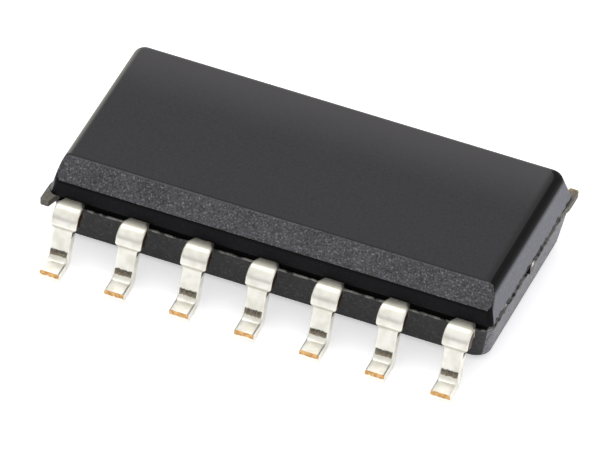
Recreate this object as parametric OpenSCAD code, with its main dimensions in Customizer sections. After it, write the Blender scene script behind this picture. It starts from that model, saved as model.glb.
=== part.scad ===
// Small-outline integrated circuit with fourteen gull-wing leads, 1.27 mm pitch.
// Origin at the middle of the seating plane, X along the body, lead 1 at -X on the -Y side.

/* [Leads] */
// Number of leads along each long side
leads_per_side = 7; // [6:1:9]
// Distance between the centres of neighbouring leads
lead_pitch = 1.27; // [1.1:0.01:1.6]
// Thickness of the leadframe strip
strip_thickness = 0.20; // [0.16:0.01:0.25]
// Width of a lead where it leaves the moulding
neck_width = 0.36; // [0.30:0.01:0.44]
// Width over the stubs that the cut dam bar leaves
dam_stub_width = 0.51; // [0.45:0.01:0.62]
// Width of the leg and the foot
leg_width = 0.38; // [0.30:0.01:0.46]
// Length of the flat shoulder outside the moulding
shoulder_length = 0.18; // [0.14:0.01:0.24]
// Inside radius of the shoulder bend
shoulder_radius = 0.07; // [0.05:0.01:0.10]
// Inside radius of the heel bend, on its upper side
heel_radius = 0.10; // [0.07:0.01:0.13]
// Flat length of the foot, from the heel to the toe
foot_length = 0.29; // [0.2:0.01:0.5]
// How far the cut dam-bar stubs reach down from the top of the shoulder
dam_stub_depth = 0.28; // [0.2:0.01:0.4]
// Lean of the leg away from the vertical, in degrees
leg_lean = 20; // [12:1:25]

/* [Moulding] */
// Distance from the centre of an end lead to the end of the moulding
end_margin = 0.515; // [0.43:0.005:0.7]
// Width of the moulding at the parting plane
body_width = 3.90; // [3.4:0.05:4.7]
// Gap between the seating plane and the underside
standoff = 0.12; // [0.10:0.01:0.15]
// Height of the lower half, from the underside to the leads
lower_height = 0.76; // [0.64:0.01:0.92]
// Height of the upper half, from the leads to the top face
upper_height = 0.66; // [0.55:0.01:0.80]
// Draft of the upper half, in degrees
upper_draft = 13; // [7:0.5:16]
// Draft of the lower half, in degrees
lower_draft = 10; // [7:0.5:14]
// Radius of the upright corners
corner_radius = 0.16; // [0.10:0.01:0.24]
// Radius of the edge round the top face
top_edge_radius = 0.13; // [0.08:0.01:0.16]
// Height and depth of the bevel that marks the lead 1 side
bevel = 0.36; // [0.25:0.01:0.43]
// How far the band between the leads lies behind the upper half
band_recess = 0.09; // [0.05:0.005:0.11]
// How far the rim of the lower half lies behind the upper half
rim_recess = 0.06; // [0.03:0.005:0.08]

/* [Flash left by the mould] */
// How far the corner flash stands out past the end
flash_reach = 0.06; // [0.03:0.005:0.10]
// How far the corner flash stands out past the long side
flash_width = 0.21; // [0.1:0.01:0.26]
// Thickness of the corner flash
flash_thickness = 0.13; // [0.08:0.01:0.15]
// Length of the corner flash along the end of the moulding
flash_length = 0.55; // [0.4:0.01:0.8]
// Length of its foot along the long side
flash_foot = 0.22; // [0.15:0.01:0.26]

/* [Ejector marks] */
// Diameter of the two ejector marks in the underside
ejector_diameter = 0.90; // [0.6:0.05:1.1]
// Depth of the ejector marks
ejector_depth = 0.03; // [0.02:0.005:0.05]
// Distance between the two ejector marks
ejector_spacing = 5.4; // [4:0.1:6.4]

/* [Die and its pad] */
// Distance from each end of the die pad to the end of the moulding
pad_end_gap = 1.875; // [1.5:0.025:2.3]
// How far the pad is pressed down below the leads
pad_downset = 0.15; // [0.10:0.01:0.20]
// Width of the tie bar at each end of the pad
tie_bar_width = 0.22; // [0.16:0.01:0.3]
// Length of the slope between pad level and lead level
tie_bar_slope = 0.30; // [0.2:0.05:0.5]
// Straight length of the tie bar before its slope
tie_bar_root = 0.15; // [0.1:0.01:0.25]
// How far the cut tie bar shows past the moulding
tie_bar_proud = 0.02; // [0.01:0.005:0.03]
// Bare pad beyond each end of the silicon die
die_end_border = 1.15; // [0.5:0.05:1.4]
// Bare pad along each side of the silicon die
die_side_border = 0.25; // [0.15:0.01:0.3]
// Thickness of the silicon die
die_thickness = 0.28; // [0.20:0.01:0.33]
// Thickness of the adhesive under the die
adhesive_thickness = 0.025; // [0.02:0.005:0.03]
// Width of the adhesive that shows round the die
adhesive_fillet = 0.06; // [0.04:0.01:0.08]

/* [Bonding] */
// How far a lead reaches into the moulding
finger_length = 0.71; // [0.66:0.01:0.9]
// Gap between the tips of the leads and the die pad
finger_gap = 0.20; // [0.15:0.01:0.25]
// Width of a lead at its bonding tip
finger_width = 0.34; // [0.26:0.01:0.42]
// Straight length of a lead just inside the moulding
anchor_length = 0.26; // [0.2:0.01:0.3]
// Depth of the locking notch in each edge of a lead
lock_notch = 0.06; // [0.04:0.01:0.08]
// Length of the locking notches
lock_length = 0.10; // [0.08:0.01:0.14]
// Share of its own place along the row that each bonding tip keeps
fan_in = 0.80; // [0.7:0.01:0.9]
// Diameter of the gold bond wire
wire_diameter = 0.030; // [0.025:0.001:0.038]
// Diameter of the bonded ball
ball_diameter = 0.075; // [0.06:0.005:0.09]
// Height of the bonded ball
ball_height = 0.020; // [0.015:0.001:0.03]
// Rise of the wire loop above the die
loop_rise = 0.17; // [0.12:0.01:0.20]
// Distance from the edge of the die to the bonds on it
bond_inset = 0.10; // [0.08:0.01:0.14]
// Distance from the tip of a lead to the stitch on it
stitch_inset = 0.12; // [0.09:0.01:0.15]

/* [Hidden] */
lead_count = 2 * leads_per_side;

row_length = (leads_per_side - 1) * lead_pitch;
half_length = row_length / 2 + end_margin;
half_width = body_width / 2;
strip_bottom = standoff + lower_height;
strip_top = strip_bottom + strip_thickness;
body_top = strip_top + upper_height;
weld = 0.04;          // how deep stacked volumes of one moulding reach into each other
cut_slack = 1;        // how far a cutter runs past what it cuts
slab = 0.001;         // height of the outlines that the shells are stretched over
corner_sides = 32;    // sides of a full circle in the rounded shell
round_steps = 5;      // steps up the rounded top edge
bend_steps = 12;       // facets round each bend of a lead
wire_sides = 6;
wire_rings = 9;       // rings between the ball and the stitch
loop_pull = 1.4;      // how hard the wire is pulled upwards off the ball, in loop rises
loop_knee = 0.5;      // share of the run at which the wire turns down
ball_flat = 0.8;      // share of the ball's height that keeps its full width
stitch_width = 1.3;   // half-width of the stitch, in wire radii
stitch_length = 2;    // half-length of the stitch, in wire radii

bend_start = half_width + shoulder_length;
outer_bend = shoulder_radius + strip_thickness;
heel_outer = heel_radius + strip_thickness;
shoulder_centre = [bend_start, strip_bottom - shoulder_radius];
leg_top = shoulder_centre + outer_bend * [cos(leg_lean), sin(leg_lean)];
leg_drop = leg_top[1] - strip_thickness - heel_radius * (1 - sin(leg_lean));
heel_centre = [
    leg_top[0] + leg_drop * tan(leg_lean) + heel_radius * cos(leg_lean),
    heel_outer
];
toe_y = heel_centre[0] + foot_length;

pad_top = strip_top - pad_downset;
pad_bottom = pad_top - strip_thickness;
adhesive_top = pad_top + adhesive_thickness;
die_top = adhesive_top + die_thickness;
tip_y = half_width - band_recess - finger_length;
pad_length = 2 * (half_length - pad_end_gap);
pad_width = 2 * (tip_y - finger_gap);
die_length = pad_length - 2 * die_end_border;
die_width = pad_width - 2 * die_side_border;

// Place of a lead along its own row, with lead 1 and lead 8 at the same end of their rows
function row_x(index) = (index - (leads_per_side + 1) / 2) * lead_pitch;
function row_index(pin) = pin > leads_per_side ? pin - leads_per_side : pin;
function row_turn(pin) = pin > leads_per_side ? 180 : 0;

// ---- Moulding -------------------------------------------------------------------------------

module rounded_slab(z, inset) {
    x = half_length - inset - corner_radius;
    y = half_width - inset - corner_radius;
    for (sx = [-1, 1])
        for (sy = [-1, 1])
            translate([sx * x, sy * y, z])
                cylinder(r = corner_radius, h = slab, $fn = corner_sides);
}

// The upper half narrows upwards and its top edge is rounded
module upper_shell() {
    wall_top = upper_height - top_edge_radius * (1 - sin(upper_draft));
    hull() {
        rounded_slab(strip_top, 0);
        for (step = [0 : round_steps]) {
            angle = upper_draft + (90 - upper_draft) * step / round_steps;
            inset = tan(upper_draft) * wall_top
                + top_edge_radius * (cos(upper_draft) - cos(angle));
            rounded_slab(body_top - top_edge_radius * (1 - sin(angle)) - slab, inset);
        }
    }
}

// The lower half narrows downwards to the underside
module lower_shell() {
    hull() {
        rounded_slab(strip_bottom - slab, rim_recess);
        rounded_slab(standoff, rim_recess + tan(lower_draft) * lower_height);
    }
}

// The band of moulding between the leads, behind both halves
module lead_band() {
    x = half_length - band_recess;
    y = half_width - band_recess;
    translate([-x, -y, strip_bottom - weld])
        cube([2 * x, 2 * y, strip_thickness + 2 * weld]);
}

// A thin fin of moulding left where the cavity was filled and vented, at two opposite corners
module corner_flash() {
    root_x = half_length - band_recess - weld;
    root_y = half_width - band_recess - weld;
    translate([0, 0, strip_top - flash_thickness])
        linear_extrude(flash_thickness)
            polygon([
                [root_x, half_width - flash_length],
                [half_length, half_width - flash_length],
                [half_length + flash_reach, half_width - flash_length / 2],
                [half_length + flash_reach, half_width + flash_width - flash_reach / 2],
                [half_length + flash_reach / 2, half_width + flash_width],
                [half_length - flash_foot / 2, half_width + flash_width],
                [half_length - flash_foot, root_y],
                [root_x, root_y]
            ]);
}

// The 45 degree bevel runs the whole length of the lead 1 side
module bevel_cutter() {
    foot = -(half_width - tan(upper_draft) * (upper_height - bevel));
    translate([-half_length - cut_slack, foot, body_top - bevel])
        rotate([45, 0, 0])
            translate([0, -2 * cut_slack, 0])
                cube([2 * (half_length + cut_slack), 4 * cut_slack, 2 * cut_slack]);
}

module ejector_marks() {
    for (side = [-1, 1])
        translate([side * ejector_spacing / 2, 0, standoff - cut_slack])
            cylinder(d = ejector_diameter, h = cut_slack + ejector_depth, $fn = 64);
}

// Everything that the moulding is filled round
module embedded_pieces() {
    for (pin = [1 : lead_count]) {
        rotate(row_turn(pin)) lead_blank(row_index(pin));
        bond_wire(pin);
    }
    die_pad();
    die_adhesive();
    die();
}

module mould_body() {
    color([0.25, 0.25, 0.26])
        difference() {
            union() {
                upper_shell();
                lower_shell();
                lead_band();
                for (turn = [0, 180]) rotate(turn) corner_flash();
            }
            bevel_cutter();
            ejector_marks();
            embedded_pieces();
        }
}

// ---- Leads ----------------------------------------------------------------------------------

// Plan of the flat part of a lead on the -Y side, from its bonding tip to the shoulder bend
module lead_plan(index) {
    x = row_x(index);
    tip = fan_in * x;
    neck = neck_width / 2;
    stub = dam_stub_width / 2;
    finger = finger_width / 2;
    notch_y = half_width - band_recess - anchor_length / 2;
    turn_y = half_width - band_recess - anchor_length;
    right = [
        [x + stub, -bend_start],
        [x + stub, -bend_start + weld],
        [x + neck, -half_width],
        [x + neck, -notch_y - lock_length / 2],
        [x + neck - lock_notch, -notch_y - lock_length / 2],
        [x + neck - lock_notch, -notch_y + lock_length / 2],
        [x + neck, -notch_y + lock_length / 2],
        [x + neck, -turn_y],
        [tip + finger, -tip_y - finger_width],
        [tip + finger, -tip_y]
    ];
    left = [for (i = [len(right) - 1 : -1 : 0])
        let (middle = right[i][1] > -turn_y ? tip : x)
        [2 * middle - right[i][0], right[i][1]]];
    polygon(concat(right, left));
}

module lead_blank(index) {
    translate([0, 0, strip_bottom])
        linear_extrude(strip_thickness)
            lead_plan(index);
}

// Points along an arc, seen from the side
function arc(centre, radius, from, to) = [
    for (step = [0 : bend_steps])
        let (angle = from + (to - from) * step / bend_steps)
        centre + radius * [cos(angle), sin(angle)]
];

// Side view of shoulder bend, leg, heel and foot; the first axis runs outwards from the body
module gull_wing_profile() {
    polygon(concat(
        [[bend_start - weld, strip_top]],
        arc(shoulder_centre, outer_bend, 90, leg_lean),
        arc(heel_centre, heel_radius, 180 + leg_lean, 270),
        [[toe_y, strip_thickness], [toe_y, 0]],
        arc(heel_centre, heel_outer, 270, 180 + leg_lean),
        arc(shoulder_centre, shoulder_radius, leg_lean, 90),
        [[bend_start - weld, strip_bottom]]
    ));
}

// Front view: the dam-bar stubs stay wide and the leg below them is narrow
module gull_wing_front() {
    stub = dam_stub_width / 2;
    leg = leg_width / 2;
    stub_foot = strip_top - dam_stub_depth;
    polygon([
        [-stub, strip_top + weld],
        [-stub, stub_foot],
        [-leg, stub_foot - weld],
        [-leg, -weld],
        [leg, -weld],
        [leg, stub_foot - weld],
        [stub, stub_foot],
        [stub, strip_top + weld]
    ]);
}

module gull_wing() {
    intersection() {
        rotate([90, 0, -90])
            linear_extrude(dam_stub_width, center = true)
                gull_wing_profile();
        rotate([90, 0, 0])
            linear_extrude(toe_y + cut_slack)
                gull_wing_front();
    }
}

module lead(pin) {
    color([0.80, 0.80, 0.77])
        rotate(row_turn(pin)) {
            lead_blank(row_index(pin));
            translate([row_x(row_index(pin)), 0, 0]) gull_wing();
        }
}

// ---- Die, pad and wires ---------------------------------------------------------------------

// Side view of one tie bar: pad level, slope, lead level, cut end
module tie_bar_profile() {
    pad_end = pad_length / 2;
    slope_start = pad_end + tie_bar_root;
    slope_end = slope_start + tie_bar_slope;
    cut_end = half_length + tie_bar_proud;
    polygon([
        [pad_end - weld, pad_bottom],
        [slope_start, pad_bottom],
        [slope_end, strip_bottom],
        [cut_end, strip_bottom],
        [cut_end, strip_top],
        [slope_end, strip_top],
        [slope_start, pad_top],
        [pad_end - weld, pad_top]
    ]);
}

module die_pad() {
    color([0.72, 0.45, 0.28])
        union() {
            translate([-pad_length / 2, -pad_width / 2, pad_bottom])
                cube([pad_length, pad_width, strip_thickness]);
            for (turn = [0, 180])
                rotate(turn)
                    rotate([90, 0, 0])
                        linear_extrude(tie_bar_width, center = true)
                            tie_bar_profile();
        }
}

module die_adhesive() {
    length = die_length + 2 * adhesive_fillet;
    width = die_width + 2 * adhesive_fillet;
    color([0.78, 0.78, 0.74])
        translate([-length / 2, -width / 2, pad_top])
            cube([length, width, adhesive_thickness]);
}

module die() {
    color([0.35, 0.38, 0.45])
        translate([-die_length / 2, -die_width / 2, adhesive_top])
            cube([die_length, die_width, die_thickness]);
}

// Centre line of a wire, as distance along its run and height; t goes from ball to stitch
function loop_point(t, run) =
    let (
        start = [0, die_top + ball_height],
        rise = [0, die_top + loop_pull * loop_rise],
        fall = [loop_knee * run, die_top + loop_rise],
        end = [run, strip_top]
    )
    pow(1 - t, 3) * start + 3 * t * pow(1 - t, 2) * rise
        + 3 * t * t * (1 - t) * fall + pow(t, 3) * end;

function loop_angle(t, run) =
    let (
        step = 0.01,
        ahead = loop_point(t + step, run) - loop_point(t - step, run)
    )
    atan2(ahead[1], ahead[0]);

// One ring of the wire: place, direction and its two half-widths
function wire_ring(place, angle, across, along) = [
    for (side = [0 : wire_sides - 1])
        let (turn = 360 * side / wire_sides)
        [
            place[0] - along * sin(turn) * sin(angle),
            across * cos(turn),
            place[1] + along * sin(turn) * cos(angle)
        ]
];

module wire_run(run) {
    radius = wire_diameter / 2;
    ball = ball_diameter / 2;
    ball_top = die_top + ball_height * ball_flat;
    rings = concat(
        [
            wire_ring([0, die_top], 90, ball, ball),
            wire_ring([0, ball_top], 90, ball, ball),
            wire_ring([0, die_top + ball_height], 90, radius, radius)
        ],
        [for (i = [1 : wire_rings - 1])
            let (t = i / wire_rings)
            wire_ring(loop_point(t, run), loop_angle(t, run), radius, radius)],
        [wire_ring(loop_point(1, run), -90, stitch_width * radius, stitch_length * radius)]
    );
    last = len(rings) - 1;
    points = [for (ring = rings) each ring];
    faces = concat(
        [[for (side = [0 : wire_sides - 1]) side]],
        [for (i = [0 : last - 1])
            for (side = [0 : wire_sides - 1])
                let (next = (side + 1) % wire_sides)
                [i * wire_sides + side, (i + 1) * wire_sides + side,
                    (i + 1) * wire_sides + next, i * wire_sides + next]],
        [[for (side = [wire_sides - 1 : -1 : 0]) last * wire_sides + side]]
    );
    polyhedron(points = points, faces = faces);
}

module bond_wire(pin) {
    index = row_index(pin);
    bond_step = (die_length - 2 * bond_inset) / (leads_per_side - 1);
    bond = [
        (index - (leads_per_side + 1) / 2) * bond_step,
        -(die_width / 2 - bond_inset)
    ];
    stitch = [fan_in * row_x(index), -tip_y - stitch_inset];
    reach = stitch - bond;
    color([0.95, 0.78, 0.30])
        rotate(row_turn(pin))
            translate([bond[0], bond[1], 0])
                rotate(atan2(reach[1], reach[0]))
                    wire_run(norm(reach));
}

mould_body();
die_pad();
die_adhesive();
die();
for (pin = [1 : lead_count]) {
    lead(pin);
    bond_wire(pin);
}
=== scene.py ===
from math import cos, pi, radians, sin, tan

import bmesh
import bpy
from mathutils import Matrix, Vector, noise
from mathutils.geometry import tessellate_polygon


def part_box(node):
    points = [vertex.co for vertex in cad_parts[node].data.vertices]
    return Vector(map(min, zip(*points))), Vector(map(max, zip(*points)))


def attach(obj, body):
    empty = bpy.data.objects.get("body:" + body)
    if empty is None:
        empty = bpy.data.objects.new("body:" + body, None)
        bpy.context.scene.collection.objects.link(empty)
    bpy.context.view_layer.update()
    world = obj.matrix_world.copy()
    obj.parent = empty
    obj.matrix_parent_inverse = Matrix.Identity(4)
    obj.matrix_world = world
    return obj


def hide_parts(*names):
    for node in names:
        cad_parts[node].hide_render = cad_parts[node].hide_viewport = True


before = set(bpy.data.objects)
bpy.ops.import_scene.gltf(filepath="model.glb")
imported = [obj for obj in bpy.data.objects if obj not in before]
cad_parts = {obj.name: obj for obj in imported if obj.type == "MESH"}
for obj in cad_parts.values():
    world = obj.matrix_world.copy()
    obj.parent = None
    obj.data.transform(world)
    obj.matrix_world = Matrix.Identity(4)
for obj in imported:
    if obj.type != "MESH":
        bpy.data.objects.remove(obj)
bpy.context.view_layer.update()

# ---- Table and studio -----------------------------------------------------------------------
# A sheet of white acrylic under soft light: bright overhead and behind, a darker room in
# front. The camera is a long lens that looks down on the lead 1 side.

MM = 0.001
scene = bpy.context.scene
scene.view_settings.view_transform = "Standard"

camera_data = bpy.data.cameras.new("camera")
camera_data.sensor_width = 36
camera_data.lens = 634.7
camera_data.clip_start = 10 * MM
camera_data.clip_end = 10
camera = bpy.data.objects.new("camera", camera_data)
scene.collection.objects.link(camera)
scene.camera = camera
aim = Vector((0.146, -0.798, 0.9)) * MM
camera_distance = 190.67 * MM
camera_turn, camera_height, camera_roll = radians(21.06), radians(41.84), radians(2.57)
towards_camera = Vector((
    sin(camera_turn) * cos(camera_height),
    -cos(camera_turn) * cos(camera_height),
    sin(camera_height),
))
camera_level = towards_camera.to_track_quat("Z", "Y").to_matrix().to_4x4()
camera.matrix_world = (
    Matrix.Translation(aim + camera_distance * towards_camera)
    @ camera_level @ Matrix.Rotation(camera_roll, 4, "Z")
)


class Socket:
    """An output of a node, so that values add, multiply and mask as plain arithmetic."""

    def __init__(self, tree, socket=None):
        self.tree, self.socket = tree, socket

    def node(self, kind, settings=None, inputs=None, output=0):
        """Adds a node, sets it up, feeds its inputs and returns one of its outputs."""
        added = self.tree.nodes.new(kind)
        for name, value in (settings or {}).items():
            setattr(added, name, value)
        for name, value in (inputs or {}).items():
            if isinstance(value, Socket):
                self.tree.links.new(value.socket, added.inputs[name])
            else:
                added.inputs[name].default_value = value
        return Socket(self.tree, added.outputs[output]) if added.outputs else None

    def outputs_of(self, kind, inputs=None):
        """Adds a node and returns all of its outputs, by name."""
        added = self.node(kind, inputs=inputs).socket.node
        return {socket.name: Socket(self.tree, socket) for socket in added.outputs}

    def math(self, operation, *others):
        """This value put through a Math node, with others where the operation takes them."""
        values = dict(enumerate((self, *others)))
        return self.node("ShaderNodeMath", {"operation": operation}, values)

    def __add__(self, other):
        return self.math("ADD", other)

    def __sub__(self, other):
        return self.math("SUBTRACT", other)

    def __rsub__(self, other):
        return self.node("ShaderNodeMath", {"operation": "SUBTRACT"}, {0: other, 1: self})

    def __mul__(self, other):
        return self.math("MULTIPLY", other)

    __radd__ = __add__
    __rmul__ = __mul__

    def ramp(self, low, high):
        """0 where this value is at or below low, 1 at or above high, smooth between."""
        return self.node(
            "ShaderNodeMapRange",
            {"interpolation_type": "SMOOTHSTEP"},
            {"Value": self, "From Min": low, "From Max": high},
        )

    def mix(self, first, second):
        """One colour where this value is 0 and the other where it is 1."""
        return self.node(
            "ShaderNodeMix", {"data_type": "RGBA"},
            {0: self, 6: first, 7: second}, output=2,
        )

    def speckle(self, size, detail=2.0):
        """Noise over this place, with bumps of about this size."""
        return self.node(
            "ShaderNodeTexNoise", inputs={"Vector": self, "Scale": 1 / size, "Detail": detail}
        )


def colour(red, green, blue):
    """A colour given in the 0 to 255 steps of a screen, as a linear colour."""
    steps = [value / 255 for value in (red, green, blue)]
    return tuple(
        step / 12.92 if step <= 0.04045 else ((step + 0.055) / 1.055) ** 2.4
        for step in steps
    ) + (1.0,)


world = bpy.data.worlds.new("studio")
scene.world = world
world.use_nodes = True
world.node_tree.nodes.clear()
sky = Socket(world.node_tree)
direction = sky.outputs_of(
    "ShaderNodeSeparateXYZ", {0: sky.node("ShaderNodeTexCoord", output="Generated")}
)
front_room = (1 - direction["Z"].ramp(0.30, 0.55)) * (1 - direction["Y"].ramp(-0.25, 0.15))
room_level, softbox_level = 0.42, 1.0
brightness = softbox_level - front_room * (softbox_level - room_level)
seen = sky.node("ShaderNodeLightPath", output="Is Camera Ray")
lit = sky.node("ShaderNodeBackground", inputs={"Color": (1, 1, 1, 1), "Strength": brightness})
shown = sky.node("ShaderNodeBackground", inputs={"Color": (1, 1, 1, 1), "Strength": 1.0})
backdrop = sky.node("ShaderNodeMixShader", inputs={0: seen, 1: lit, 2: shown})
sky.node("ShaderNodeOutputWorld", inputs={"Surface": backdrop})

key_data = bpy.data.lights.new("key", "AREA")
key_data.shape = "DISK"
key_data.size = 110 * MM
key_data.energy = 0.085
key = bpy.data.objects.new("key", key_data)
scene.collection.objects.link(key)
key_from = Vector((-70, 90, 190)) * MM
key_facing = key_from.to_track_quat("Z", "Y").to_matrix().to_4x4()
key.matrix_world = Matrix.Translation(key_from) @ key_facing

floor_half = 1.5
floor_height = -0.002 * MM
floor_glow = 0.48
floor_mesh = bpy.data.meshes.new("floor")
floor_mesh.from_pydata(
    [(x, y, floor_height) for x, y in ((-1, -1), (1, -1), (1, 1), (-1, 1))],
    [], [(0, 1, 2, 3)],
)
floor_mesh.transform(Matrix.Diagonal((floor_half, floor_half, 1, 1)))
floor = bpy.data.objects.new("floor", floor_mesh)
scene.collection.objects.link(floor)
acrylic = bpy.data.materials.new("white_acrylic")
acrylic.use_nodes = True
acrylic.node_tree.nodes.clear()
sheet = Socket(acrylic.node_tree)
diffuse = sheet.node("ShaderNodeBsdfDiffuse", inputs={"Color": colour(245, 245, 248)})
dark = sheet.node("ShaderNodeEmission", inputs={"Color": (0, 0, 0, 1), "Strength": 0.0})
glow = sheet.node("ShaderNodeEmission", inputs={"Color": (1, 1, 1, 1), "Strength": floor_glow})
path = sheet.outputs_of("ShaderNodeLightPath")
looked_at = path["Is Camera Ray"] + path["Is Glossy Ray"] + path["Is Transmission Ray"]
boost = sheet.node("ShaderNodeMixShader", inputs={0: looked_at, 1: dark, 2: glow})
surface = sheet.node("ShaderNodeAddShader", inputs={0: diffuse, 1: boost})
sheet.node("ShaderNodeOutputMaterial", inputs={"Surface": surface})
floor_mesh.materials.append(acrylic)

# ---- Moulded body ---------------------------------------------------------------------------
# Black epoxy moulding compound, pressed round the leadframe between two cavity halves. The
# top is spark-eroded fine, the bevel coarse, and both halves draft away from the leads.

body_low, body_high = (Vector(corner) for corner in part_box("mould_body"))
lead_low, lead_high = (Vector(corner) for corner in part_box("lead_1"))
half_length = 4.325 * MM
half_width = 1.95 * MM
underside = body_low.z
body_top = body_high.z
strip_thickness = 0.20 * MM
strip_top = lead_high.z
strip_bottom = strip_top - strip_thickness
top_edge_radius = 0.13 * MM
upper_draft, lower_draft = radians(13), radians(10)
band_recess = 0.09 * MM
rim_recess = 0.06 * MM
bevel = 0.36 * MM
bevel_foot = -(half_width - tan(upper_draft) * (body_top - bevel - strip_top))
bevel_floor = body_top - bevel

# Radii of the upright corners, anticlockwise from the far one at +X, and how much that far
# one grows up to the top; then how far the halves stand out at the +X end, and the share of
# its inset that the far side stands back out
lower_corners = [radius * MM for radius in (0.04, 0.16, 0.16, 0.28)]
upper_corners = [radius * MM for radius in (0.05, 0.16, 0.14, 0.10)]
corner_growth = 0.13 * MM
lower_end_shift, upper_end_shift = 0.04 * MM, 0.02 * MM
far_side_share = 0.25
flat_strip = 0.07 * MM

# Height, inset and zone of each ring of the shell, from the underside to the top face
lower_steps, upper_steps, round_steps = 12, 20, 8
lower_height = strip_bottom - underside
upper_straight = body_top - top_edge_radius * (1 - sin(upper_draft)) - strip_top
rings = []
for step in range(lower_steps + 1):
    rise = step / lower_steps
    inset = rim_recess + tan(lower_draft) * lower_height * (1 - rise)
    rings.append((underside + rise * lower_height, inset, "lower"))
rings.append((strip_bottom, band_recess, "ledge"))
rings.append(((strip_bottom + strip_top) / 2, band_recess, "band"))
rings.append((strip_top, band_recess, "band"))
for step in range(upper_steps):
    climb = step / upper_steps * upper_straight
    rings.append((strip_top + climb, tan(upper_draft) * climb, "upper"))
for step in range(round_steps + 1):
    angle = upper_draft + (pi / 2 - upper_draft) * step / round_steps
    rings.append((
        body_top - top_edge_radius * (1 - sin(angle)),
        tan(upper_draft) * upper_straight + top_edge_radius * (cos(upper_draft) - cos(angle)),
        "round",
    ))
rings.append((body_top, rings[-1][1] + flat_strip, "flat"))
above_leads = ("upper", "round", "flat")


def outline(inset, radii):
    """The plan of the moulding at one height: places and outward directions, all round."""
    arc_steps, long_steps, short_steps = 10, 260, 110
    centres = [
        Vector((side_x * (half_length - inset - radius), side_y * (half_width - inset - radius)))
        for (side_x, side_y), radius in zip(((1, 1), (-1, 1), (-1, -1), (1, -1)), radii)
    ]
    points = []
    for turn in range(4):
        for step in range(arc_steps + 1):
            angle = (turn + step / arc_steps) * pi / 2
            out = Vector((cos(angle), sin(angle)))
            points.append((centres[turn] + radii[turn] * out, out))
        start, out = points[-1]
        end = centres[(turn + 1) % 4] + radii[(turn + 1) % 4] * out
        steps = long_steps if turn % 2 == 0 else short_steps
        for step in range(1, steps):
            points.append((start.lerp(end, step / steps), out))
    return points


def grain(place, size, seed):
    """Noise from -1 to 1 whose bumps are about this size."""
    return noise.noise(place / size + Vector((seed, 2 * seed, 3 * seed)))


def edge_roughness(point, zone):
    """How far the broken edges along the parting line stand out from or behind the plain form."""
    at_rim = abs(point.z - strip_bottom) < 0.001 * MM
    at_lip = abs(point.z - strip_top) < 0.001 * MM
    if zone == "lower" and at_rim:
        return 0.014 * MM * grain(point, 0.11 * MM, 1) + 0.008 * MM * grain(point, 0.04 * MM, 2)
    if zone == "ledge":
        return 0.006 * MM * grain(point, 0.06 * MM, 3)
    if zone == "upper" and at_lip:
        return -0.020 * MM * abs(grain(point, 0.12 * MM, 4)) - 0.004 * MM
    return 0.0


def shell_point(spot, out, z, inset, zone):
    """One point of the shell, kept behind the plane of the bevel."""
    point = Vector((spot.x, spot.y, z))
    if zone == "lower":
        point.x += lower_end_shift * max(0, out.x)
    elif zone in above_leads:
        point.x += upper_end_shift * max(0, out.x)
        point.y += far_side_share * inset * max(0, out.y)
    point += Vector((out.x, out.y, 0)) * edge_roughness(point, zone)
    if zone in above_leads:
        bevel_plane = bevel_foot + (z - bevel_floor) + (flat_strip if zone == "flat" else 0)
        point.y = max(point.y, bevel_plane)
    return point


def look_of(level, middle, out):
    """The look of the faces between this ring and the next: their surface, and on some zones a tone
    of painted light or shade.
    """
    zone, next_zone = rings[level][2], rings[level + 1][2]
    bevel_plane = bevel_foot + (middle.z - bevel_floor)
    on_bevel = middle.z > bevel_floor and middle.y < bevel_plane + 0.002 * MM
    if zone in ("upper", "round") and on_bevel:
        return "coarse_bevel"
    if next_zone == "ledge" or level == lower_steps - 1:
        return "broken_rim"
    # The band is painted as the shadow under the upper half
    if zone in ("ledge", "band") or next_zone == "band":
        return "band"
    if zone == "lower":
        return "lower_end" if abs(out.x) > 0.7 else "lower_wall"
    # The end edge along the +X top and round the near +X corner is painted as a dark reflection
    if zone == "round" or next_zone == "round":
        return "end_edge" if out.x > 0.5 and next_zone != "flat" else "fine_face"
    if out.x > 0.15 and out.y < -0.25:
        return "end_edge"
    return "end_wall" if abs(out.x) > 0.7 else "long_wall"


vertices, faces, face_looks = [], [], []
for z, inset, zone in rings:
    radii = lower_corners if zone in ("lower", "ledge") else upper_corners
    growth = corner_growth * max(0, (z - strip_top) / (body_top - strip_top))
    plan = outline(inset, [radii[0] + growth] + radii[1:])
    vertices += [shell_point(spot, out, z, inset, zone) for spot, out in plan]
count = len(plan)
for level in range(len(rings) - 1):
    for i in range(count):
        a, b = level * count + i, level * count + (i + 1) % count
        face = (a, b, b + count, a + count)
        middle = sum((vertices[corner] for corner in face), Vector()) / 4
        faces.append(face)
        face_looks.append(look_of(level, middle, plan[i][1]))
faces.append(tuple((len(rings) - 1) * count + i for i in range(count)))
face_looks.append("fine_face")

# The coarse spark-eroded grain of the bevel stands in the mesh itself
bevel_out = Vector((0, -1, 1)).normalized()
bevel_vertices = set()
for face, face_look in zip(faces, face_looks):
    if face_look == "coarse_bevel":
        bevel_vertices.update(face)
for index in bevel_vertices:
    point = vertices[index]
    depth = 0.012 * MM * grain(point, 0.07 * MM, 5) + 0.008 * MM * grain(point, 0.04 * MM, 6)
    vertices[index] = point - bevel_out * (abs(depth) + 0.001 * MM)

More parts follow.
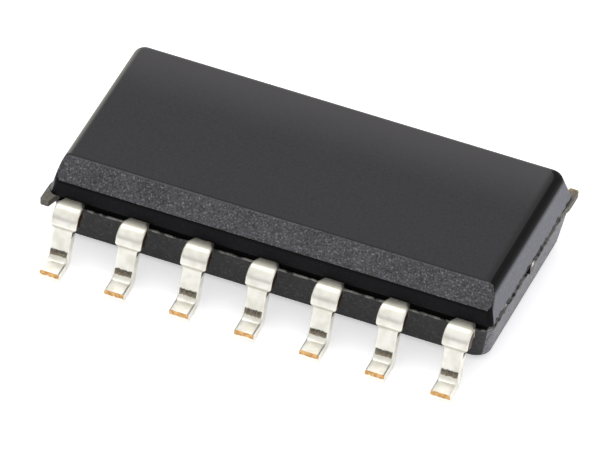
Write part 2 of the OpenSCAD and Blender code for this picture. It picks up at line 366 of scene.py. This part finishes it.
# The underside, with its two round ejector marks
mark_steps = 48
mark_radius, mark_depth, mark_place = 0.45 * MM, 0.03 * MM, 2.7 * MM
loops, places = [vertices[:count]], list(range(count))
for side in (-1, 1):
    first = len(vertices)
    circle = [
        Vector((side * mark_place + mark_radius * cos(angle), mark_radius * sin(angle), underside))
        for angle in (2 * pi * step / mark_steps for step in range(mark_steps))
    ]
    loops.append(circle)
    places += range(first, first + mark_steps)
    vertices += circle + [point + Vector((0, 0, mark_depth)) for point in circle]
    for i in range(mark_steps):
        j = (i + 1) % mark_steps
        faces.append((first + i, first + mark_steps + i, first + mark_steps + j, first + j))
    faces.append(tuple(first + mark_steps + i for i in reversed(range(mark_steps))))
for triangle in tessellate_polygon(loops):
    a, b, c = (places[corner] for corner in triangle)
    facing_up = (vertices[b] - vertices[a]).cross(vertices[c] - vertices[a]).z > 0
    faces.append((a, c, b) if facing_up else (a, b, c))
face_looks += ["fine_face"] * (len(faces) - len(face_looks))

# Corner fins where the cavity was filled and vented
flash_reach, flash_width = 0.06 * MM, 0.21 * MM
flash_length, flash_foot, flash_thickness = 0.55 * MM, 0.22 * MM, 0.13 * MM
flash_root = 0.13 * MM
flash_ripple = 0.008 * MM
flash_steps = 10
fin = [(half_length - flash_root, half_width - flash_length)]
for step in range(flash_steps + 1):
    share = step / flash_steps
    ripple = flash_ripple * noise.noise(Vector((9 * share, 4, 7)))
    reach = min(flash_reach * min(1, 2 * share) + ripple, flash_reach)
    y = half_width - flash_length + share * (flash_length + flash_width - flash_reach / 2)
    fin.append((half_length + reach, y))
fin += [
    (half_length + flash_reach / 2, half_width + flash_width),
    (half_length - flash_foot / 2, half_width + flash_width),
    (half_length - flash_foot, half_width - flash_root),
    (half_length - flash_root, half_width - flash_root),
]
for turn in (1, -1):
    first, size = len(vertices), len(fin)
    for z in (strip_top - flash_thickness, strip_top - 0.001 * MM):
        vertices += [Vector((turn * x, turn * y, z)) for x, y in fin]
    for i in range(size):
        j = (i + 1) % size
        faces.append((first + i, first + j, first + size + j, first + size + i))
    faces.append(tuple(first + i for i in reversed(range(size))))
    faces.append(tuple(first + size + i for i in range(size)))
    face_looks += ["flash"] * (size + 2)


def compound(name, tone, roughness, specular, grain_size, grain_depth, mottle, flecks, marks_and_shading=None):
    """Moulding compound as one cavity texture leaves it; on some zones its tone and patches are
    painted light or shade.
    """
    material = bpy.data.materials.new(name)
    material.use_nodes = True
    material.node_tree.nodes.clear()
    make = Socket(material.node_tree)
    place = make.node("ShaderNodeTexCoord", output="Object")
    fine = place.speckle(grain_size, 3.0)
    broad = place.speckle(0.9 * MM, 3.0)
    spark = place.speckle(grain_size * 0.9, 1.0).ramp(0.56, 0.70)
    pit = 1 - place.speckle(grain_size * 1.3, 1.0).ramp(0.26, 0.42)
    light = (fine - 0.5) * mottle + (broad - 0.5) * (0.3 * mottle) + spark * flecks + 1.0
    light = (light * (1 - pit * min(0.7, mottle * 0.4))).math("MAXIMUM", 0.1)
    shade = make.node(
        "ShaderNodeVectorMath", {"operation": "SCALE"},
        {0: colour(*tone)[:3], "Scale": light},
    )
    if marks_and_shading:
        axes = make.outputs_of("ShaderNodeSeparateXYZ", {0: place})
        shade = marks_and_shading(place, axes["X"], axes["Y"], axes["Z"], shade)
    bump = make.node(
        "ShaderNodeBump", inputs={"Height": fine, "Distance": grain_depth, "Strength": 1.0}
    )
    shader = make.node(
        "ShaderNodeBsdfPrincipled",
        inputs={
            "Base Color": shade, "Roughness": roughness + (broad - 0.5) * 0.10, "Normal": bump,
            "Specular IOR Level": specular,
        },
    )
    make.node("ShaderNodeOutputMaterial", inputs={"Surface": shader})
    return material


def top_painted_light(place, x, y, z, shade):
    """The top is paler towards the far side; a painted highlight runs along its far and left edges,
    and painted shade along the +X end and in a line at the near edge.
    """
    shade = y.ramp(0.3 * MM, 2.0 * MM).mix(shade, colour(62, 60, 62))
    shade = x.ramp(3.92 * MM, 4.08 * MM).mix(shade, colour(4, 4, 5))
    left, far = (0 - x).ramp(4.05 * MM, 4.17 * MM), y.ramp(1.73 * MM, 1.87 * MM)
    edge_highlight = left.math("MAXIMUM", far) * (1 - x.ramp(3.7 * MM, 3.95 * MM))
    shade = edge_highlight.mix(shade, colour(126, 125, 118))
    return (0 - y).ramp(1.455 * MM, 1.50 * MM).mix(shade, colour(14, 14, 16))


def bevel_marks(place, x, y, z, shade):
    """The upper edge of the bevel catches the light."""
    edge = z.ramp(1.708 * MM, 1.73 * MM) * place.speckle(0.08 * MM).ramp(0.3, 0.6)
    return (edge * 0.7).mix(shade, colour(84, 84, 88))


def wall_painted_shade(place, x, y, z, shade):
    """The long walls are painted with shade: darkest just under the bevel and along the parting line.
    """
    parting = 1 - z.ramp(1.09 * MM, 1.14 * MM)
    painted_shade = z.ramp(1.29 * MM, 1.38 * MM).math("MAXIMUM", parting)
    return painted_shade.mix(shade, colour(4, 4, 5))


def end_painted_shade_and_chip(place, x, y, z, shade):
    """The ends get painted shade along the bevel, the top edge and a ragged parting line, and one
    pale chip.
    """
    ragged = place.speckle(0.16 * MM, 4.0) * (0.26 * MM) + 0.995 * MM
    parting = 1 - (z - ragged).ramp(-0.012 * MM, 0.012 * MM)
    beside_bevel = 1 - (y - z + (bevel_floor - bevel_foot)).ramp(0.05 * MM, 0.16 * MM)
    painted_shade = parting.math("MAXIMUM", z.ramp(1.50 * MM, 1.63 * MM)).math("MAXIMUM", beside_bevel)
    shade = painted_shade.mix(shade, colour(14, 14, 16))
    beside_chip = (y + 1.28 * MM).math("ABSOLUTE").ramp(0.015 * MM, 0.035 * MM)
    chip = (1 - beside_chip) * (1 - z.ramp(1.09 * MM, 1.12 * MM))
    return chip.mix(shade, colour(230, 226, 214))


def rim_painted_highlight(place, x, y, z, shade):
    """The rim of the lower half is chipped, and a painted highlight runs along its broken edge."""
    edge = z.ramp(0.828 * MM, 0.864 * MM) * place.speckle(0.13 * MM, 3.0).ramp(0.36, 0.56)
    return edge.mix(shade, colour(158, 156, 150))


def fin_marks(place, x, y, z, shade):
    """The tip of the far fin is thin and browner."""
    tip = y.ramp(1.98 * MM, 2.14 * MM) * place.speckle(0.1 * MM).ramp(0.35, 0.6)
    return tip.mix(shade, colour(150, 130, 92))


# Tone, roughness, specular level, grain size, grain depth, mottle, flecks and marks; on some zones
# the tone and marks are painted light and shade
body_looks = {
    "fine_face": ((32, 31, 35), 0.55, 0.28, 0.045 * MM, 0.0012 * MM, 0.9, 0.5, top_painted_light),
    "coarse_bevel": ((58, 58, 62), 0.42, 0.60, 0.042 * MM, 0.026 * MM, 4.2, 2.8, bevel_marks),
    # The long walls' dark tone is painted shade
    "long_wall": ((15, 15, 18), 0.45, 0.09, 0.06 * MM, 0.001 * MM, 0.8, 0.8, wall_painted_shade),
    # The end walls' pale tone is painted light from the side
    "end_wall": ((118, 118, 125), 0.55, 0.20, 0.05 * MM, 0.001 * MM, 0.35, 0.2, end_painted_shade_and_chip),
    # The end edge's near-black tone is a painted dark reflection along the +X top edge and the near
    # +X corner
    "end_edge": ((14, 14, 15), 0.60, 0.08, 0.05 * MM, 0.001 * MM, 0.5, 0.3),
    "lower_wall": ((37, 37, 39), 0.55, 0.30, 0.07 * MM, 0.006 * MM, 1.6, 1.4),
    # The lower ends' pale tone is painted light from the side
    "lower_end": ((120, 120, 125), 0.55, 0.30, 0.08 * MM, 0.006 * MM, 1.4, 0.4),
    # The band's near-black tone is the painted shadow under the upper half
    "band": ((3, 3, 4), 0.60, 0.02, 0.06 * MM, 0.002 * MM, 0.5, 0.8),
    "broken_rim": ((40, 40, 42), 0.60, 0.30, 0.07 * MM, 0.006 * MM, 2.0, 1.5, rim_painted_highlight),
    "flash": ((96, 93, 84), 0.60, 0.40, 0.06 * MM, 0.004 * MM, 0.8, 0.6, fin_marks),
}
body_mesh = bpy.data.meshes.new("moulding")
body_mesh.from_pydata([tuple(point) for point in vertices], [], faces)
for name, look in body_looks.items():
    body_mesh.materials.append(compound(name, *look))
slots = list(body_looks)
for polygon, face_look in zip(body_mesh.polygons, face_looks):
    polygon.material_index = slots.index(face_look)
    polygon.use_smooth = True
weld_distance = 0.0001 * MM
welded = bmesh.new()
welded.from_mesh(body_mesh)
bmesh.ops.remove_doubles(welded, verts=welded.verts, dist=weld_distance)
bmesh.ops.dissolve_degenerate(welded, edges=welded.edges, dist=weld_distance)
bmesh.ops.recalc_face_normals(welded, faces=welded.faces)
welded.to_mesh(body_mesh)
welded.free()
body_mesh.set_sharp_from_angle(angle=radians(28))
body = bpy.data.objects.new("moulding", body_mesh)
scene.collection.objects.link(body)
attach(body, "root")
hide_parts("mould_body")

# ---- Leads ----------------------------------------------------------------------------------
# Copper alloy strip, 0.2 mm thick, plated with matte tin before it was cut from the frame and
# bent to gull wings. The toes and the dam-bar stubs were cut after plating and show copper.

lead_count_per_row = 7
lead_pitch = 1.27 * MM
neck_half, stub_half, leg_half = 0.18 * MM, 0.255 * MM, 0.19 * MM
shoulder_length, flare_length = 0.18 * MM, 0.13 * MM
shoulder_radius, heel_radius = 0.07 * MM, 0.10 * MM
leg_lean = radians(20)
toe_y = -lead_low.y
buried_length = 0.12 * MM
outer_round, inner_round = 0.035 * MM, 0.012 * MM

# Side view; the first axis runs outwards from the body
up = Vector((0, 1))
lean_out = Vector((cos(leg_lean), sin(leg_lean)))
bend_start = half_width + shoulder_length
bend_centre = Vector((bend_start, strip_bottom - shoulder_radius))
outer_bend = shoulder_radius + strip_thickness
leg_top = bend_centre + outer_bend * lean_out
leg_drop = leg_top.y - strip_thickness - heel_radius * (1 - sin(leg_lean))
heel_centre = Vector((
    leg_top.x + leg_drop * tan(leg_lean) + heel_radius * cos(leg_lean),
    strip_thickness + heel_radius,
))
stub_foot = strip_top - 0.28 * MM


def straight_run(start, end, facing, steps):
    """Stations along a flat stretch: place on the outer face and where that face looks."""
    return [(start.lerp(end, step / steps), facing) for step in range(steps)]


def curved_run(centre, radius, start, end, steps, sign):
    """Stations round a bend."""
    angles = [start + (end - start) * step / steps for step in range(steps)]
    outs = [Vector((cos(angle), sin(angle))) for angle in angles]
    return [(centre + radius * out, sign * out) for out in outs]


shoulder_root = Vector((half_width - buried_length, strip_top))
heel_top = heel_centre - heel_radius * lean_out
heel_foot = Vector((heel_centre.x, strip_thickness))
toe = Vector((toe_y, strip_thickness))
stations = (
    straight_run(shoulder_root, Vector((bend_start, strip_top)), up, 12)
    + curved_run(bend_centre, outer_bend, pi / 2, leg_lean, 18, 1)
    + straight_run(leg_top, heel_top, lean_out, 22)
    + curved_run(heel_centre, heel_radius, pi + leg_lean, 1.5 * pi, 16, -1)
    + straight_run(heel_foot, toe, up, 8)
    + [(toe, up)]
)
travels = [0.0]
for (before, _), (place, _) in zip(stations, stations[1:]):
    travels.append(travels[-1] + (place - before).length)


def travel_at(height):
    """Distance down the strip, in mm, at which its outer face is at this height."""
    return next(
        travel / MM for (place, _), travel in zip(stations, travels) if place.y < height
    )


def smooth_share(value, low, high):
    """0 where the value is at or below low, 1 at or above high, smooth between."""
    share = min(1, max(0, (value - low) / (high - low)))
    return share * share * (3 - 2 * share)


def half_width_at(place):
    """Half the width of the strip at this place on its outer face."""
    flare = min(1, max(0, (place.x - half_width) / flare_length))
    wide = neck_half + (stub_half - neck_half) * flare
    narrowing = smooth_share(-place.y, -stub_foot, -stub_foot + 0.035 * MM)
    return wide + (leg_half - wide) * narrowing


def pressed_at(place):
    """How far the bending tool pressed the outer face in, from the stubs down to the heel."""
    if place.x > heel_centre.x - 0.09 * MM:
        return 0.0
    return 0.006 * MM * smooth_share(-place.y, -stub_foot, -stub_foot + 0.02 * MM)


def section(half):
    """Points round the strip's section: distance across and depth below the outer face."""
    flat_steps, round_points = 8, 4
    outer_half, inner_half = half - outer_round, half - inner_round
    angles = [pi / 2 * step / round_points for step in range(1, round_points + 1)]
    turned = [(outer_half + outer_round * sin(angle), outer_round * (1 - cos(angle)))
              for angle in angles]
    tucked = [pi / 2 * step / (round_points - 1) for step in range(round_points)]
    inner = [(inner_half + inner_round * cos(angle), strip_thickness + inner_round * (sin(angle) - 1))
             for angle in tucked]
    flat = [(outer_half * (1 - 2 * step / flat_steps), 0.0) for step in range(flat_steps + 1)]
    left = [(-across, depth) for across, depth in turned]
    left += [(-half, strip_thickness / 2)] + [(-across, depth) for across, depth in inner]
    right = inner[::-1] + [(half, strip_thickness / 2)] + turned[::-1]
    return flat + left + right


lead_points, along_values, across_values = [], [], []
for (place, facing), travel in zip(stations, travels):
    half, pressed = half_width_at(place), pressed_at(place)
    for across, depth in section(half):
        sunk = place - facing * (depth + pressed * (1 - depth / strip_thickness))
        lead_points.append(Vector((across, -sunk.x, sunk.y)))
        along_values.append(travel / MM)
        across_values.append(across / half * (1 if depth < strip_thickness * 0.6 else 2))
size = len(section(neck_half))
lead_faces, cut_faces = [], []
for level in range(len(stations) - 1):
    edge = half_width_at(stations[level][0]) - 0.004 * MM
    for i in range(size):
        a, b = level * size + i, level * size + (i + 1) % size
        lead_faces.append((a, b, b + size, a + size))
        middle = (lead_points[a] + lead_points[b + size]) / 2
        by_stub = -middle.y > bend_start - 0.03 * MM and middle.z > stub_foot - 0.16 * MM
        cut_faces.append(abs(middle.x) > edge and by_stub)
last_ring = (len(stations) - 1) * size
lead_faces += [tuple(reversed(range(size))), tuple(last_ring + i for i in range(size))]
cut_faces += [False, True]
form_mesh = bpy.data.meshes.new("lead_form")
form_mesh.from_pydata([tuple(point) for point in lead_points], [], lead_faces)
for name, kind, domain, values in (
    ("along", "FLOAT", "POINT", along_values),
    ("across", "FLOAT", "POINT", across_values),
    ("cut", "BOOLEAN", "FACE", cut_faces),
):
    form_mesh.attributes.new(name, kind, domain).data.foreach_set("value", values)
for polygon in form_mesh.polygons:
    polygon.use_smooth = True
form_mesh.set_sharp_from_angle(angle=radians(50))
form = bpy.data.objects.new("lead_form", form_mesh)
scene.collection.objects.link(form)

# Distances down the strip of the crease under the stubs and of the painted dark reflection at the
# heel
crease_at = travel_at(stub_foot + 0.01 * MM)
reflection_from, reflection_to = travel_at(0.41 * MM), travel_at(0.285 * MM)


def tin_plating():
    """Matte tin, with painted shade on the shoulder and along the crease, and a painted dark
    reflection on the heel.
    """
    material = bpy.data.materials.new("matte_tin_plating")
    material.use_nodes = True
    material.node_tree.nodes.clear()
    make = Socket(material.node_tree)
    place = make.node("ShaderNodeTexCoord", output="Object")
    along = make.node("ShaderNodeAttribute", {"attribute_name": "along"}, output="Fac")
    side = make.node("ShaderNodeAttribute", {"attribute_name": "across"}, output="Fac")
    fine = place.speckle(0.03 * MM, 3.0)
    broad = place.speckle(0.22 * MM, 2.0)
    shade = broad.ramp(0.35, 0.7).mix(colour(243, 241, 232), colour(228, 225, 213))
    below_crease = along.ramp(crease_at, crease_at + 0.05)
    crease = along.ramp(crease_at - 0.035, crease_at) * (1 - below_crease)
    # The crease is painted darker as shade; its extra roughness is real
    shade = (crease * 0.6).mix(shade, colour(168, 164, 144))
    # Painted shade on the shoulder, darkest next to the body
    shade = (1 - along.ramp(0.30, 0.46)).mix(shade, colour(206, 203, 190))
    # A painted dark reflection on the heel, ragged at its ends and narrower than the strip
    ragged = along + (place.speckle(0.05 * MM, 2.0) - 0.5) * 0.06
    below_reflection = ragged.ramp(reflection_to - 0.02, reflection_to + 0.01)
    beside_reflection = (side.math("ABSOLUTE") + (fine - 0.5) * 0.15).ramp(0.82, 0.94)
    heel_reflection = ragged.ramp(reflection_from - 0.02, reflection_from + 0.01) * (1 - below_reflection)
    heel_reflection = (heel_reflection * (1 - beside_reflection) * (0.55 + fine * 0.8)).math("MINIMUM", 1.0)
    heel_reflection_tone = along.ramp(reflection_from, reflection_to).mix(colour(66, 61, 53), colour(128, 116, 96))
    shade = heel_reflection.mix(shade, heel_reflection_tone)
    bump = make.node(
        "ShaderNodeBump", inputs={"Height": fine, "Distance": 0.0012 * MM, "Strength": 0.6}
    )
    shader = make.node(
        "ShaderNodeBsdfPrincipled",
        inputs={
            "Base Color": shade, "Metallic": 0.88, "Normal": bump,
            "Roughness": 0.38 + (broad - 0.5) * 0.15 + crease * 0.2,
        },
    )
    make.node("ShaderNodeOutputMaterial", inputs={"Surface": shader})
    return material


def cut_copper():
    """Bare copper alloy where the strip was sheared, dull, painted darker up on the stubs as shade,
    and smeared with tin at the toe.
    """
    material = bpy.data.materials.new("cut_copper")
    material.use_nodes = True
    material.node_tree.nodes.clear()
    make = Socket(material.node_tree)
    place = make.node("ShaderNodeTexCoord", output="Object")
    height = make.outputs_of("ShaderNodeSeparateXYZ", {0: place})["Z"]
    streaks = place.speckle(0.07 * MM, 3.0)
    shade = streaks.ramp(0.35, 0.65).mix(colour(222, 180, 118), colour(186, 138, 80))
    # Painted shade over the copper of the high cut faces by the stubs
    shade = height.ramp(0.45 * MM, 0.6 * MM).mix(shade, colour(74, 48, 26))
    smear_top = height + (streaks - 0.5) * (0.05 * MM)
    shade = (1 - smear_top.ramp(0.085 * MM, 0.105 * MM)).mix(shade, colour(250, 247, 238))
    bump = make.node(
        "ShaderNodeBump", inputs={"Height": streaks, "Distance": 0.002 * MM, "Strength": 0.7}
    )
    shader = make.node(
        "ShaderNodeBsdfPrincipled",
        inputs={"Base Color": shade, "Metallic": 0.7, "Roughness": 0.45, "Normal": bump},
    )
    make.node("ShaderNodeOutputMaterial", inputs={"Surface": shader})
    return material


def lead_rows():
    """Two rows of one formed lead, the far row turned half round, with their metals."""
    tree = bpy.data.node_groups.new("lead_rows", "GeometryNodeTree")
    for name, kind in (
        ("Form", "NodeSocketObject"), ("Leads", "NodeSocketInt"), ("Pitch", "NodeSocketFloat"),
        ("Plating", "NodeSocketMaterial"), ("Cut metal", "NodeSocketMaterial"),
    ):
        tree.interface.new_socket(name, in_out="INPUT", socket_type=kind)
    tree.interface.new_socket("Geometry", in_out="OUTPUT", socket_type="NodeSocketGeometry")
    make = Socket(tree)
    given = make.outputs_of("NodeGroupInput")
    first = (given["Leads"] - 1) * given["Pitch"] * -0.5
    start = make.node("ShaderNodeCombineXYZ", inputs={"X": first})
    step = make.node("ShaderNodeCombineXYZ", inputs={"X": given["Pitch"]})
    line = make.node(
        "GeometryNodeMeshLine", {"mode": "OFFSET"},
        {"Count": given["Leads"], "Start Location": start, "Offset": step},
    )
    single = make.node(
        "GeometryNodeObjectInfo", inputs={"Object": given["Form"]}, output="Geometry"
    )
    row = make.node("GeometryNodeInstanceOnPoints", inputs={"Points": line, "Instance": single})
    near = make.node("GeometryNodeRealizeInstances", inputs={"Geometry": row})
    far = make.node(
        "GeometryNodeTransform", inputs={"Geometry": near, "Rotation": (0, 0, pi)}
    )
    joined = make.node("GeometryNodeJoinGeometry", inputs={0: near})
    tree.links.new(far.socket, joined.socket.node.inputs[0])
    whole = make.node("GeometryNodeRealizeInstances", inputs={"Geometry": joined})
    plated = make.node(
        "GeometryNodeSetMaterial", inputs={"Geometry": whole, "Material": given["Plating"]}
    )
    cut = make.node(
        "GeometryNodeInputNamedAttribute", {"data_type": "BOOLEAN"}, {"Name": "cut"}
    )
    finished = make.node(
        "GeometryNodeSetMaterial",
        inputs={"Geometry": plated, "Selection": cut, "Material": given["Cut metal"]},
    )
    make.node("NodeGroupOutput", inputs={"Geometry": finished})
    return tree


leads = bpy.data.objects.new("leads", bpy.data.meshes.new("leads"))
scene.collection.objects.link(leads)
rows = leads.modifiers.new("rows", "NODES")
rows.node_group = lead_rows()
plating = tin_plating()
form_mesh.materials.append(plating)
given_values = {
    "Form": form, "Leads": lead_count_per_row, "Pitch": lead_pitch,
    "Plating": plating, "Cut metal": cut_copper(),
}
for item in rows.node_group.interface.items_tree:
    if item.in_out == "INPUT":
        rows[item.identifier] = given_values[item.name]
evaluated = leads.evaluated_get(bpy.context.evaluated_depsgraph_get())
lead_mesh = bpy.data.meshes.new_from_object(evaluated)
lead_mesh.attributes.remove(lead_mesh.attributes["cut"])
leads.modifiers.clear()
leads.data = lead_mesh
bpy.data.objects.remove(form)
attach(leads, "root")
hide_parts(*[f"lead_{pin}" for pin in range(1, 15)])

# ---- Pad, die and wires ---------------------------------------------------------------------
# Sealed inside the moulding. Only the cut ends of the pad's tie bars reach the short ends,
# where a spot of bright bare metal shows in the parting line.


def inner_metal(name, tint, roughness, crusted=False):
    """A fine-grained metal; a crusted one shows bare only near the middle of its upper side."""
    material = bpy.data.materials.new(name)
    material.use_nodes = True
    material.node_tree.nodes.clear()
    make = Socket(material.node_tree)
    place = make.node("ShaderNodeTexCoord", output="Object")
    fine = place.speckle(0.04 * MM, 3.0)
    darker = colour(*[0.8 * step for step in tint])
    shade = fine.ramp(0.3, 0.7).mix(colour(*tint), darker)
    if crusted:
        axes = make.outputs_of("ShaderNodeSeparateXYZ", {0: place})
        off_middle = (axes["Y"] + (fine - 0.5) * (0.05 * MM)).math("ABSOLUTE")
        low = 1 - axes["Z"].ramp(0.98 * MM, 1.02 * MM)
        crust = off_middle.ramp(0.035 * MM, 0.06 * MM).math("MAXIMUM", low)
        shade = crust.mix(shade, colour(58, 54, 50))
    bump = make.node(
        "ShaderNodeBump", inputs={"Height": fine, "Distance": 0.001 * MM, "Strength": 0.5}
    )
    shader = make.node(
        "ShaderNodeBsdfPrincipled",
        inputs={"Base Color": shade, "Metallic": 1.0, "Roughness": roughness, "Normal": bump},
    )
    make.node("ShaderNodeOutputMaterial", inputs={"Surface": shader})
    return material


inner_finishes = {
    "die_pad": inner_metal("pad_copper", (236, 222, 196), 0.35, crusted=True),
    "die_adhesive": inner_metal("silver_adhesive", (190, 190, 186), 0.60),
    "die": inner_metal("silicon", (96, 100, 112), 0.15),
}
gold = inner_metal("gold_wire", (242, 205, 120), 0.20)
for node_name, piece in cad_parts.items():
    if node_name in inner_finishes or node_name.startswith("bond_wire_"):
        piece.data.materials.clear()
        piece.data.materials.append(inner_finishes.get(node_name, gold))
